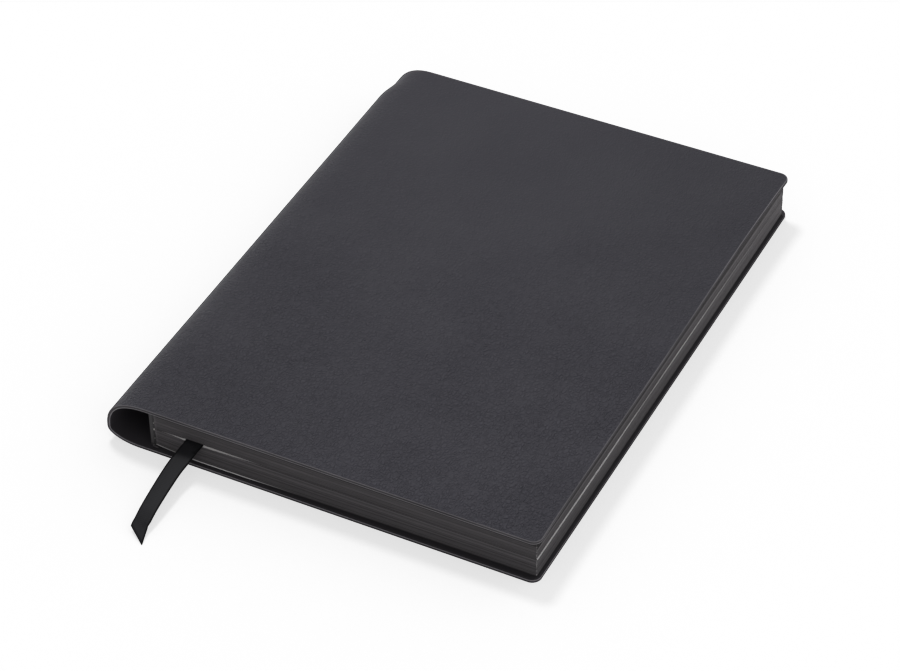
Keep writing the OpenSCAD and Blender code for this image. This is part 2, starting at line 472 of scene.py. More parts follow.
def leaf_edges():
    """Leaf edges dyed dark grey, uneven from leaf to leaf, with bare paper where they part"""
    material, tree, shader = new_material("leaf_edges")
    flat = sheet_place(tree)
    # The tone holds the dye's unevenness, and also the painted shade and sheen set for each leaf group
    tone = node(tree, "ShaderNodeAttribute", attribute_name="tone").outputs["Fac"]
    bare = node(tree, "ShaderNodeAttribute", attribute_name="bare").outputs["Fac"]
    streaks = noise(tree, stretched(tree, flat, STREAK_STRETCH), STREAK, 4.0, 0.7)
    cloud = noise(tree, flat, 9 * MM, 3.0, 0.6)
    across = glue_place(tree, object_place(tree))
    glue = ramp(tree, across, HINGE_X + SOAK[0], HINGE_X + SOAK[1], SOAK_SHARE, 0.0)
    share = weighted(tree, (tone, LEAF_SHARE), (streaks, STREAK_SHARE), (cloud, CLOUD_SHARE))
    dyed = mix_colours(tree, plus(tree, share, glue), *DYED_COLOURS)
    paper = mix_colours(tree, streaks, *PAPER_COLOURS)
    bump(tree, shader, streaks, 0.03 * MM)
    surface(tree, shader, mix_colours(tree, bare, dyed, paper), 0.75, 0.08)
    return material


# Satin: the pitch of its ribs, the size of its threads, and where its selvedges start and end
RIB = 2.2 * MM
THREAD = 0.2 * MM
THREAD_STRETCH = (0.25, 1.0, 1.0)
SELVEDGE = (0.38, 0.47)
SATIN_COLOURS = ((0.004, 0.004, 0.0045), (0.0145, 0.0145, 0.0165))


def satin():
    """Black satin with fine cross ribs and tighter, darker selvedges"""
    material, tree, shader = new_material("satin")
    flat = sheet_place(tree)
    aside = math_node(tree, "ABSOLUTE", split(tree, flat)[1])
    ribs = node(
        tree,
        "ShaderNodeTexWave",
        {"Vector": flat, "Scale": 1 / RIB, "Distortion": 0.6, "Detail": 1.0, "Detail Scale": 3.0},
        bands_direction="X",
    ).outputs["Fac"]
    threads = noise(tree, stretched(tree, flat, THREAD_STRETCH), THREAD, 3.0, 0.6)
    bump(tree, shader, weighted(tree, (ribs, 0.6), (threads, 0.4)), 0.03 * MM)
    inner, outer = (share * RIBBON_W for share in SELVEDGE)
    tone = times(tree, plus(tree, threads, 0.5), ramp(tree, aside, inner, outer, 1.0, 0.0))
    surface(tree, shader, mix_colours(tree, tone, *SATIN_COLOURS), 0.5, 0.06)
    return material


# The brushed line of glue: the length of its bends, how far they sway, and where it starts and is full
GLUE_BEND = 3.5 * MM
GLUE_SWAY = 0.5 * MM
GLUE_LINE = (0.2 * MM, 0.3 * MM)


def glue_place(tree, where):
    """Distance across the spine, swaying as a brushed line of glue does"""
    return plus(tree, split(tree, where)[0], times(tree, noise(tree, where, GLUE_BEND, 2.0), GLUE_SWAY))


def glued_cloth():
    """Cloth on the backs of the leaves, with a wavy line of dried glue next to them. Its dark colour is
    painted shade of the narrow groove there
    """
    material, tree, shader = new_material("glued_cloth")
    where = object_place(tree)
    weave = cells(tree, where, 0.6 * MM, "F1")
    glue = ramp(tree, glue_place(tree, where), HINGE_X + GLUE_LINE[0], HINGE_X + GLUE_LINE[1])
    # Painted shade: the dark colour stands for the shaded groove between card and leaves
    colour = mix_colours(tree, glue, (0.008, 0.0075, 0.0085), (0.085, 0.082, 0.082))
    bump(tree, shader, weave, 0.08 * MM)
    surface(tree, shader, colour, 0.6, 0.3)
    return material


def glue_and_glint():
    """Beads of dried glue, pale and a little glossy, their paleness partly a painted glint"""
    colours = (0.45, 0.43, 0.41), (0.8, 0.78, 0.75)
    return plain_material("glue_and_glint", object_place, (0.8 * MM, 3.0, 0.6), colours, 0.05 * MM, 0.4)


def lining_card():
    """Dark grey card on the cloth"""
    colours = (0.022, 0.0205, 0.0225), (0.048, 0.044, 0.048)
    return plain_material("lining_card", object_place, (0.4 * MM, 5.0, 0.7), colours, 0.05 * MM, 0.85)


# Meshes


def make_piece(name, points, faces, materials, face_kinds, place, shades=None):
    """A smooth-shaded mesh object with a material number for each face and named point values"""
    mesh = bpy.data.meshes.new(name)
    mesh.from_pydata(points.tolist(), [], faces)
    for material in materials:
        mesh.materials.append(material)
    mesh.polygons.foreach_set("material_index", np.asarray(face_kinds, np.int32))
    mesh.polygons.foreach_set("use_smooth", np.ones(len(faces), bool))
    held = mesh.attributes.new("place", "FLOAT_VECTOR", "POINT")
    held.data.foreach_set("vector", place.astype(np.float32).ravel())
    for key, values in (shades or {}).items():
        shade = mesh.attributes.new(key, "FLOAT", "POINT")
        shade.data.foreach_set("value", values.astype(np.float32))
    mesh.update()
    piece = bpy.data.objects.new(name, mesh)
    bpy.context.scene.collection.objects.link(piece)
    return piece


def quads(a, b, c, d):
    """Faces from four equal arrays of vertex numbers"""
    return np.stack([a, b, c, d], axis=-1).reshape(-1, 4).tolist()


def spaced(start, stop, step):
    """Values from start to stop about one step apart, without start"""
    count = max(1, round(abs(stop - start) / step))
    return np.linspace(start, stop, count + 1)[1:]


CORNER_STEPS = 9
# Width of the last row of faces along the head and the tail
LAST_ROW = 0.4 * MM
# Numbers of a sheet's materials
SKIN, EDGE, INSIDE = 0, 1, 2


def make_sheet(name, lay, columns, half_h, corner_r, thickness, edge_r, materials,
               flip=False, relief=None, row_step=GRID_STEP, inner_edge_r=None):
    """A sheet with two round corners at the fore edge, rounded cut edges and a square spine end.

    lay(u, y, height) gives the points: u runs from the fore edge towards the spine and
    height from the sheet's inner face to its outer one. Materials are skin, edge, inside."""
    inner_r = edge_r if inner_edge_r is None else inner_edge_r
    angle = np.linspace(0, math.pi / 2, CORNER_STEPS + 1)
    near_edge = LAST_ROW / half_h
    inner_rows = spaced(-1 + near_edge, 1 - near_edge, row_step / half_h)
    rows = np.concatenate([[-1.0, -1 + near_edge], inner_rows, [1.0]])
    n_rows, n_cols = len(rows), len(angle) + len(columns)

    def outline(inset):
        u = np.concatenate([corner_r - (corner_r - inset) * np.cos(angle), columns])
        half = np.concatenate([
            half_h - corner_r + (corner_r - inset) * np.sin(angle),
            np.full(len(columns), half_h - inset),
        ])
        return u, half

    def layer(inset, height, extra=None):
        u, half = outline(inset)
        uu = np.broadcast_to(u, (n_rows, n_cols))
        yy = rows[:, None] * half[None, :]
        added = extra(uu, yy) if extra is not None else 0
        return lay(uu, yy, height + added), uu, yy

    tail_row, head_row = np.zeros(n_cols, int), np.full(n_cols, n_rows - 1)
    path_rows = np.concatenate([tail_row, np.arange(1, n_rows - 1), head_row])
    path_cols = np.concatenate([np.arange(n_cols)[::-1], np.zeros(n_rows - 2, int), np.arange(n_cols)])
    grid = np.arange(n_rows * n_cols).reshape(n_rows, n_cols)
    inner_grid = grid + n_rows * n_cols

    bend = math.sqrt(0.5)
    middle = [
        (edge_r * (1 - bend), thickness - edge_r * (1 - bend)),
        (0.0, thickness - edge_r),
        (0.0, inner_r),
        (inner_r * (1 - bend), inner_r * (1 - bend)),
    ]
    # The skin and the inside as grids, then the rings of points round the cut edge
    points, place, loops = [], [], []
    for inset, height, extra in ((edge_r, thickness, relief), (inner_r, 0.0, None)):
        xyz, uu, yy = layer(inset, height, extra)
        points.append(xyz.reshape(-1, 3))
        place.append(np.stack([uu, yy, np.full_like(yy, height)], axis=-1).reshape(-1, 3))
    start = 2 * n_rows * n_cols
    for inset, height in middle:
        xyz, uu, yy = layer(inset, height)
        points.append(xyz[path_rows, path_cols])
        flat = np.stack([uu, yy, np.full_like(yy, height)], axis=-1)
        place.append(flat[path_rows, path_cols])
        loops.append(np.arange(len(path_rows)) + start)
        start += len(path_rows)

    faces = quads(grid[:-1, :-1], grid[1:, :-1], grid[1:, 1:], grid[:-1, 1:])
    kinds = [SKIN] * len(faces)
    made = quads(inner_grid[:-1, :-1], inner_grid[:-1, 1:], inner_grid[1:, 1:], inner_grid[1:, :-1])
    faces += made
    kinds += [INSIDE] * len(made)
    rings = [grid[path_rows, path_cols], *loops, inner_grid[path_rows, path_cols]]
    for a, b in zip(rings, rings[1:]):
        made = quads(b[:-1], b[1:], a[1:], a[:-1])
        faces += made
        kinds += [EDGE] * len(made)
    # The square end at the spine
    made = quads(inner_grid[1:, -1], inner_grid[:-1, -1], grid[:-1, -1], grid[1:, -1])
    made.append([int(n) for n in (grid[0, -1], inner_grid[0, -1], *(loop[0] for loop in loops[::-1]))])
    made.append([int(n) for n in (inner_grid[-1, -1], grid[-1, -1], *(loop[-1] for loop in loops))])
    faces += made
    kinds += [EDGE] * len(made)
    if flip:
        faces = [face[::-1] for face in faces]
    return make_piece(name, np.concatenate(points), faces, materials, kinds, np.concatenate(place))


# Cover

# Small irregularities: the front cover's fore edge bows, the back cover runs long at its head
# corner, and so do the leaves at the head
BOW_IN = 0.5 * MM
BOW_AT = 65 * MM
BOW_REACH_TAIL = 75 * MM
BOW_REACH_HEAD = 45 * MM
RUN_OUT = 0.3 * MM
FLARE = 0.25 * MM
FLARE_REACH = 15 * MM
FLARE_WIDTH = 30 * MM
BACK_LONG = 1.4 * MM
HEAD_MORE = 0.8 * MM


def front_drift(x, y):
    """Where the front cover's edges stray from straight, in X and Y"""
    reach = np.where(y < BOW_AT, BOW_REACH_TAIL, BOW_REACH_HEAD)
    bow = FLARE * (bell((y - HALF_H) / FLARE_REACH) + bell((y + HALF_H) / FLARE_REACH))
    bow = RUN_OUT + bow - BOW_IN * bell((y - BOW_AT) / reach)
    return bow * smooth((x - FORE_X + FLARE_WIDTH) / FLARE_WIDTH), 0


def back_drift(x, y):
    """The back cover runs on towards the head, most at the fore edge"""
    return 0, BACK_LONG * np.clip((x - HINGE_X) / (FORE_X - HINGE_X), 0, 1) * smooth(y / HALF_H)


def leaf_drift(x, y):
    """The leaves run on a little towards the head"""
    return 0, HEAD_MORE * np.clip(y / pages_high.y, 0, 1)


def last_leaf_drift(x, y):
    """The lowest leaf also leans out of the tail"""
    at, out = np.array(LEAN_OUT).T
    return 0, leaf_drift(x, y)[1] - np.interp(x, at * MM, out * MM) * smooth(-2 * y / HALF_H - 1)


def roll_section():
    """The sheet's outer line in XZ from the fore edge, over the shoulder and foot, to the seam.

    Gives the length along it, X, Z, the outward direction and the share of the dent."""
    shoulder_x = HINGE_X - SHOULDER_FLAT
    fine = SECTION_STEPS
    turn = np.radians(np.linspace(90, 0, fine))
    shoulder = np.column_stack([
        shoulder_x - (shoulder_x - ROLL_X) * np.cos(turn) ** (2 / SHOULDER_POWER),
        ROLL_LEVEL + (TOP_Z - ROLL_LEVEL) * np.sin(turn) ** (2 / SHOULDER_POWER),
    ])
    down = np.radians(np.linspace(0, 90, fine))[1:]
    foot = np.column_stack([ROLL_X + FOOT_DEPTH * (1 - np.cos(down)), ROLL_LEVEL * (1 - np.sin(down))])
    top = np.column_stack([np.linspace(FORE_X, shoulder_x, fine)[:-1], np.full(fine - 1, TOP_Z)])
    under = np.column_stack([np.linspace(ROLL_X + FOOT_DEPTH, SEAM_X, fine)[1:], np.zeros(fine - 1)])
    line = np.concatenate([top, shoulder, foot, under])
    pressed = np.sin(math.pi * (1 - turn / turn[0]) ** DENT_LOW)
    dent = np.concatenate([np.zeros(len(top)), pressed, np.zeros(len(foot) + len(under))])
    along = unit(np.gradient(line, axis=0))
    return run_length(line), line[:, 0], line[:, 1], along[:, 1], -along[:, 0], dent


def wrapped(section):
    """Lays a flat sheet along the roll's section, with the dent at the head end"""
    length, x, z, out_x, out_z, dent = section

    def lay(u, y, height):
        share = smooth((y - (HALF_H - DENT_REACH)) / DENT_SLOPE)
        depth = height - COVER_T - DENT_DEPTH * np.interp(u, length, dent) * share
        across = np.interp(u, length, x)
        return np.stack([
            across + front_drift(across, y)[0] + np.interp(u, length, out_x) * depth,
            y,
            np.interp(u, length, z) + np.interp(u, length, out_z) * depth,
        ], axis=-1)

    return lay


def flat_sheet(fore_x, inner_z, side, drift):
    """Lays a sheet level: its outer face is up for side 1 and down for side -1"""

    def lay(u, y, height):
        x = fore_x - u
        more_x, more_y = drift(x, y)
        return np.stack([x + more_x, y + more_y, inner_z + side * height + 0 * u], axis=-1)

    return lay


# Length of the roll's foot that lies flat on the table
FLAT_FOOT = 12 * MM
# The skin's slow swells: their number, their lengths in millimetres, their height and where they end
SWELLS = 9
SWELL_LENGTHS = (25, 90)
SWELL_HEIGHT = 0.12 * MM
SWELL_RIM = 8 * MM
SWELL_SEED = 11


def soft_relief(seed, amount, end_u):
    """Slow, seeded swells of the skin that die out at its edges"""
    waves = np.random.RandomState(seed)
    spread = []
    for _ in range(SWELLS):
        length = waves.uniform(*SWELL_LENGTHS) * MM
        spread.append((length, *waves.uniform(0, 2 * math.pi, 2)))

    def relief(u, y):
        total = 0
        for length, heading, phase in spread:
            across = u * math.cos(heading) + y * math.sin(heading)
            total = total + np.sin(2 * math.pi * across / length + phase)
        rim = np.minimum(np.minimum(u, end_u - FLAT_FOOT - u), HALF_H - np.abs(y))
        return amount * total / len(spread) * smooth(rim / SWELL_RIM)

    return relief


def hinged_columns(first_u, hinge_u, end_u, step, last_step=HINGE_STEP):
    """Columns of a sheet that bends at the hinge, close together there"""
    bend_u = hinge_u - BEND_ROOM * BEND_LENGTH
    return np.concatenate([
        spaced(first_u, bend_u, step),
        spaced(bend_u, hinge_u, HINGE_STEP),
        spaced(hinge_u, end_u, last_step),
    ])


def front_skin(materials):
    """The front cover and the whole roll, as one piece of the sheet"""
    section = roll_section()
    end_u = section[0][-1]
    piece = make_sheet(
        "cover_front_and_spine", wrapped(section),
        hinged_columns(CORNER_R, FORE_X - HINGE_X, end_u, GRID_STEP, ROLL_STEP), HALF_H, CORNER_R,
        COVER_T, EDGE_R, materials, relief=soft_relief(SWELL_SEED, SWELL_HEIGHT, end_u),
        inner_edge_r=INNER_EDGE_R,
    )
    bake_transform(piece)
    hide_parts("front_cover", "spine")


def back_skin(materials):
    """The back cover, which lies on the table"""
    piece = make_sheet(
        "cover_back", flat_sheet(FORE_X, COVER_T, -1, back_drift),
        hinged_columns(CORNER_R, FORE_X - HINGE_X, FORE_X - SEAM_X, GRID_STEP), HALF_H, CORNER_R,
        COVER_T, EDGE_R, materials, flip=True, inner_edge_r=INNER_EDGE_R,
    )
    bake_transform(piece)
    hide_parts("back_cover")


# Endpapers

# How far the pasted halves run on past the hinge
PASTE_REACH = 0.6 * MM
PAPER_EDGE_R = 0.06 * MM
PAPER_STEP = 2.5 * MM
LOOSE_CORNER_R = 0.2 * MM


def endpapers(material):
    """Pasted and loose halves of both endpapers. The pasted ones have close columns where the covers
    hinge
    """
    corner = CORNER_R - (FORE_X - paste_high.x)
    for name, low, high, side, body in (
        ("endpaper_front_pasted", paste_low, paste_high, 1, FRONT),
        ("endpaper_back_pasted", back_paste_low, back_paste_high, -1, BACK),
    ):
        end_u = high.x - (HINGE_X - PASTE_REACH)
        columns = hinged_columns(corner, high.x - HINGE_X, end_u, PAPER_STEP)
        inner_z = low.z if side > 0 else high.z
        drift = front_drift if side > 0 else back_drift
        piece = make_sheet(
            name, flat_sheet(high.x, inner_z, side, drift), columns, high.y, corner, PAPER_T,
            PAPER_EDGE_R, [material] * 3, flip=side < 0, row_step=PAPER_STEP,
        )
        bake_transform(piece)
        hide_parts("front_pastedown" if side > 0 else "back_pastedown")
    for name, low, high, side, cad_node in (
        ("endpaper_front_loose", leaf_low, leaf_high, 1, "front_flyleaf"),
        ("endpaper_back_loose", back_leaf_low, back_leaf_high, -1, "back_flyleaf"),
    ):
        columns = spaced(LOOSE_CORNER_R, high.x - low.x, PAPER_STEP)
        inner_z = low.z if side > 0 else high.z
        drift = leaf_drift if side > 0 else last_leaf_drift
        piece = make_sheet(
            name, flat_sheet(high.x, inner_z, side, drift), columns, high.y, LOOSE_CORNER_R,
            PAPER_T, PAPER_EDGE_R, [material] * 3, flip=side < 0, row_step=PAPER_STEP,
        )
        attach(piece, BLOCK)
        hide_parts(cad_node)


# Leaves

# Leaves are made in groups of this thickness, with points this far apart along the edges
LEAF_GROUP = 0.2 * MM
EDGE_STEP = 2.0 * MM
# How far in the stacks' level faces start
BAND = 6 * MM
# Unevenness of the edges: of a group, in millimetres, and of the slow wave along it
UNEVEN = 0.045
WAVE = 0.02 * MM
ARRIS = 0.02 * MM
# Steps between groups at the spine, of the lowest leaf at the tail, and at the parting
SPINE_STEP = 0.01 * MM
FOOT_STEP = 0.3 * MM
LEDGE = 0.04 * MM
LEDGE_GROUPS = 5
CREST = 0.22 * MM
# Width of the worn corner between tail and fore edge, and how white it gets
CORNER_FLECK = 0.15 * MM
CORNER_WEAR = 0.7
# Tones of the dye, from 0 for dark to 1 for pale: shared by three groups, of each group, and inside
BAND_TONE = 0.22
GROUP_TONE = 0.68
INNER_TONE = 0.5
# Painted shadow: the group next to the parting is darker
PARTING_SHADOW_TONE = -0.8
# Painted sheen: the fore edge's tone grows lighter towards the head, at Y in millimetres
FORE_SHEEN_TONE = ((-106, -0.03), (0, 0.12), (106, 0.62))
# Painted shade: the fore edge is darker above this height, under the cover. A paler line of leaves lies
# just below
COVER_SHADE_Z = 12.9 * MM
COVER_SHADE_TONE = -0.9
PALE_Z = 12.3 * MM
PALE_TONE = ((-106, 0.9), (-75, 0.7), (-40, 0.2), (106, 0.1))
# Painted shade: the tail is a little darker above this height, under the cover
TAIL_SHADE_Z = 14.6 * MM
TAIL_SHADE_TONE = -0.4
MOUTH_X = HINGE_X + 16 * MM
# Height of the parting at the tail's two corners and its fall along the fore edge
PART_Z = 9.0 * MM
PART_FORE_Z = 9.3 * MM
PART_FALL = 0.9 * MM
# Gape of the parting: everywhere, where it is white and beside the ribbon
GAPE = 0.02 * MM
WHITE_GAPE = 0.05 * MM
RIBBON_GAPE = 0.35 * MM
# The leaves part this far to each side of the ribbon's middle, and close over this width
RIBBON_ASIDE = 3.4 * MM
RIBBON_CLOSING = 1.6 * MM
# Clearance above and below the ribbon's hidden stretch
RIBBON_ROOM = 0.3 * MM
# How white the parting is along the tail (at X) and the fore edge (at Y), in millimetres
TAIL_WHITE = (
    (-63, 0), (-58, 0.7), (-54, 1.8), (-51, 2.6), (-45, 3.3),
    (-41, 3.0), (-37, 2.3), (-32, 1.2), (-27, 0.5), (-20, 0),
)
FORE_WHITE = (
    (-106, 1.9), (-50, 1.9), (-35, 1.1), (-20, 0.75), (10, 1.0),
    (33, 0.85), (55, 0.55), (75, 0.35), (106, 0.1),
)
# How white the lowest leaf is along the tail, and how far the lowest leaves lean out there
FOOT_WHITE = (
    (-64, 0.7), (-56, 0.4), (-48, 1.0), (-42, 1.6), (-30, 1.3), (-24, 0.6), (-16, 0.2), (-8, 0),
)
LEAN_OUT = (
    (-65, -0.3), (-58, 0.35), (-48, 0.85), (-20, 0.75), (0, 0.6), (25, 0.3), (45, 0.15), (82, 0.1),
)
NOWHERE = ((0, 0),)
LOWER_SEED, UPPER_SEED = 5, 6


def left_of(run):
    """The direction square to a run, on its left"""
    return np.array([-run[1], run[0]]) / np.linalg.norm(run)


def page_outline():
    """Points round the leaves from the spine's tail corner, and the inward direction at each"""
    low, high = pages_low, pages_high
    head_y = high.y + HEAD_MORE
    corners = [(low.x, low.y), (high.x, low.y), (high.x, head_y), (low.x, head_y)]
    steps = [EDGE_STEP / 2, EDGE_STEP, EDGE_STEP, 4 * EDGE_STEP]
    points, inward = [], []
    for number, step in enumerate(steps):
        a, b, before = (np.array(corners[k % 4]) for k in (number, number + 1, number - 1))
        run = b - a
        count = max(1, round(np.linalg.norm(run) / step))
        for k in range(count):
            points.append(a + run * k / count)
            inward.append(left_of(run) + left_of(a - before) if k == 0 else left_of(run))
        if number < 2:
            # A point on either side of the worn corner at the tail of the fore edge
            fleck = CORNER_FLECK * run / np.linalg.norm(run)
            nearby = len(points) if number == 0 else len(points) - count + 1
            points.insert(nearby, b - fleck if number == 0 else a + fleck)
            inward.insert(nearby, np.array([-1.0, 1.0]))
    return np.array(points), np.array(inward)


def on_tail(points):
    """Which points of the outline lie on the tail edge"""
    return np.abs(points[:, 1] - pages_low.y) < SAME


def on_fore(points):
    """Which points of the outline lie on the fore edge, with its corners"""
    return np.abs(points[:, 0] - pages_high.x) < SAME


def along_sides(points, tail_values, fore_values=NOWHERE):
    """Values given at places along the tail and the fore edge, and 0 on the other sides"""
    x, y = points[:, 0], points[:, 1]
    tail = on_tail(points)
    fore = on_fore(points) & ~tail
    tail_at, tail_value = np.array(tail_values).T
    fore_at, fore_value = np.array(fore_values).T
    along_tail = np.interp(x, tail_at * MM, tail_value)
    along_fore = np.interp(y, fore_at * MM, fore_value)
    return np.where(tail, along_tail, np.where(fore, along_fore, 0))


def leaf_stack(name, material, bottom, top, inner_bottom, inner_top, seed, shelf, crest, foot, lean):
    """A closed stack of leaves with slightly uneven edges.

    bottom and top give its height along the outline, and the inner values hold further in.
    Along the outline, shelf is how far its lowest leaves draw back, crest is how far its
    highest stand out, foot is how white the lowest leaf's edge is and lean is how far it leans."""
    points, inward = page_outline()
    count = len(points)
    random = np.random.RandomState(seed)
    groups = int(round(float(np.mean(top - bottom)) / LEAF_GROUP))
    depth = np.abs(random.normal(0, UNEVEN, groups)) * MM
    tones = BAND_TONE * np.repeat(random.uniform(0, 1, groups), 3)[:groups]
    tones = tones + GROUP_TONE * random.uniform(0, 1, groups)
    # Painted shadow along the parting, on the group under the crest or the lowest group above it
    tones[-2 if np.any(crest) else 0] = PARTING_SHADOW_TONE
    wear = CORNER_WEAR * random.uniform(0, 1, groups) ** 2
    levels = np.mean(bottom) + np.arange(groups) * LEAF_GROUP
    fore = on_fore(points) & ~on_tail(points)
    # The worn corner between the tail and the fore edge
    wear_and_shading = on_fore(points) & on_tail(points)
    spine = (points[:, 0] <= pages_low.x + SAME) & ~on_tail(points)
    # Painted sheen along the fore edge, lighter towards the head
    fore_sheen = along_sides(points, NOWHERE, FORE_SHEEN_TONE)
    pale_tone = along_sides(points, NOWHERE, PALE_TONE)
    run = np.arange(count) / count
    along = run_length(points)
    white = along_sides(points, TAIL_WHITE, FORE_WHITE)
    rings, place, tone, bare = [], [], [], []

    def ring(inset, z, group, shade, paper):
        out = lean * (1 - group / groups)
        xy = points + inward * np.broadcast_to(inset, count)[:, None]
        rings.append(np.column_stack([xy[:, 0], xy[:, 1] - out, z]))
        place.append(np.column_stack([along, z, np.full(count, group * MM)]))
        tone.append(np.broadcast_to(shade, count))
        bare.append(np.minimum(np.broadcast_to(paper, count), 1))

    ring(BAND, np.full(count, inner_bottom), 0, INNER_TONE, white)
    for group in range(groups):
        wave = WAVE * (1 + np.sin(2 * math.pi * (run * (3 + group % 5) + group * 0.37)))
        draw_back = np.minimum(shelf, LEDGE) * (1 - smooth(np.array(group / LEDGE_GROUPS)))
        inset = np.where(spine, SPINE_STEP * (group % 2), depth[group] + wave + draw_back)
        paper = np.where(wear_and_shading, wear[group], 0)
        if group == 0:
            paper = foot
            inset = inset - FOOT_STEP * np.minimum(foot, 1)
        if group == groups - 1:
            inset = inset - crest
        low = bottom + (top - bottom) * group / groups
        high = bottom + (top - bottom) * (group + 1) / groups
        if group == 0:
            ring(inset + ARRIS, low - ARRIS / 2, 0, INNER_TONE, white)
        shade = tones[group] + fore_sheen
        # Painted shade under the cover on the fore edge; below it, the paler line of leaves
        if levels[group] > COVER_SHADE_Z:
            shade = shade + np.where(fore, COVER_SHADE_TONE, 0)
        elif levels[group] > PALE_Z:
            shade = shade + pale_tone
        # Painted shade under the cover on the tail
        if levels[group] > TAIL_SHADE_Z:
            shade = shade + np.where(fore, 0, TAIL_SHADE_TONE)
        ring(inset, low, group, shade, paper)
        ring(inset, high, group, shade, paper)
        if group == 0:
            ring(inset + ARRIS, high + ARRIS / 4, group, shade, paper)
        if group == groups - 1:
            ring(inset + ARRIS, high + ARRIS / 2, group, INNER_TONE, white)
    ring(BAND, np.full(count, inner_top), groups, INNER_TONE, white)

    numbers = np.arange(len(rings) * count).reshape(len(rings), count)
    after = np.roll(numbers, -1, axis=1)
    faces = quads(numbers[:-1], after[:-1], after[1:], numbers[1:])
    faces.append(numbers[0][::-1].tolist())
    faces.append(numbers[-1].tolist())
    piece = make_piece(
        name, np.concatenate(rings), faces, [material], [0] * len(faces), np.concatenate(place),
        {"tone": np.concatenate(tone), "bare": np.concatenate(bare)},
    )
    piece.data.polygons.foreach_set("use_smooth", np.zeros(len(faces), bool))
    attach(piece, BLOCK)
    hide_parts("pages")


def leaves(material):
    """Two stacks of leaves, above and below the ribbon"""
    points, _ = page_outline()
    x, y = points[:, 0], points[:, 1]
    tail = on_tail(points)
    up = np.clip((y - pages_low.y) / (pages_high.y - pages_low.y), 0, 1)
    level = np.interp(x, (0, pages_high.x), (PART_Z, PART_FORE_Z)) - PART_FALL * up
    white = along_sides(points, TAIL_WHITE, FORE_WHITE)
    closing = smooth((np.abs(x - MOUTH_X) - RIBBON_ASIDE) / RIBBON_CLOSING)
    gape = GAPE + WHITE_GAPE * np.minimum(white, 1) + RIBBON_GAPE * np.where(tail, 1 - closing, 0)
    ribbon_level = RIBBON_LEVEL * MM
    none = np.zeros(len(points))
    foot = along_sides(points, FOOT_WHITE)
    lean = along_sides(points, LEAN_OUT) * MM
    flat_low = np.full(len(points), pages_low.z)
    flat_high = np.full(len(points), pages_high.z)
    crest = white * CREST
    leaf_stack(
        "leaves_lower", material, flat_low, level - gape / 2, pages_low.z,
        ribbon_level - RIBBON_ROOM, LOWER_SEED, none, crest, foot, lean,
    )
    leaf_stack(
        "leaves_upper", material, level + gape / 2, flat_high, ribbon_level + RIBBON_ROOM,
        pages_high.z, UPPER_SEED, LEDGE * white, none, none, none,
    )


# Ribbon

# The middle line's free stretch from its end up to the leaves, in millimetres
RIBBON_FREE = [
    (-48.2, -145.55, 1.2),
    (-48.9, -142.35, 2.2),
    (-48.9, -140.75, 2.8),
    (-49.1, -136.85, 4.0),
    (-49.3, -133.35, 4.7),
    (-49.5, -129.45, 5.3),
    (-49.8, -123.75, 6.0),
    (-50.0, -117.55, 6.7),
    (-49.7, -112.25, 7.4),
    (-49.2, -107.85, 8.3),
]
RIBBON_MOUTH = (-48.8, MOUTH_Y, RIBBON_LEVEL)
RIBBON_ROOT = (-60.8, 104.0, RIBBON_LEVEL)
RIBBON_TIP = (-47.5, -148.9, 0.15)
HIDDEN_STEPS = 14
# The ribbon lies flat and wide where it leaves the leaves and cups as it hangs: width along the route
SPREAD_AT = (-20, 0, 7, 14, 25, 42)
SPREAD = (1.0, 1.15, 1.13, 1.05, 1.0, 0.95)
CUP = 0.1 * MM
CUP_REACH = 20 * MM
# Length of the slanted cut at the end
CUT_LENGTH = 6.4 * MM
RIBBON_COLUMNS = 13
STEPS_PER_SPAN = 8


def curve_through(points, per_span):
    """A smooth line through points, as a Catmull-Rom curve"""
    p = np.array(points)
    p = np.concatenate([[2 * p[0] - p[1]], p, [2 * p[-1] - p[-2]]])
    out = []
    for i in range(1, len(p) - 2):
        for k in range(per_span):
            t = k / per_span
            a, b, c, d = p[i - 1], p[i], p[i + 1], p[i + 2]
            bend = (2 * a - 5 * b + 4 * c - d) * t**2 + (3 * b - a - 3 * c + d) * t**3
            out.append(0.5 * (2 * b + (c - a) * t + bend))
    out.append(p[-2])
    return np.array(out)


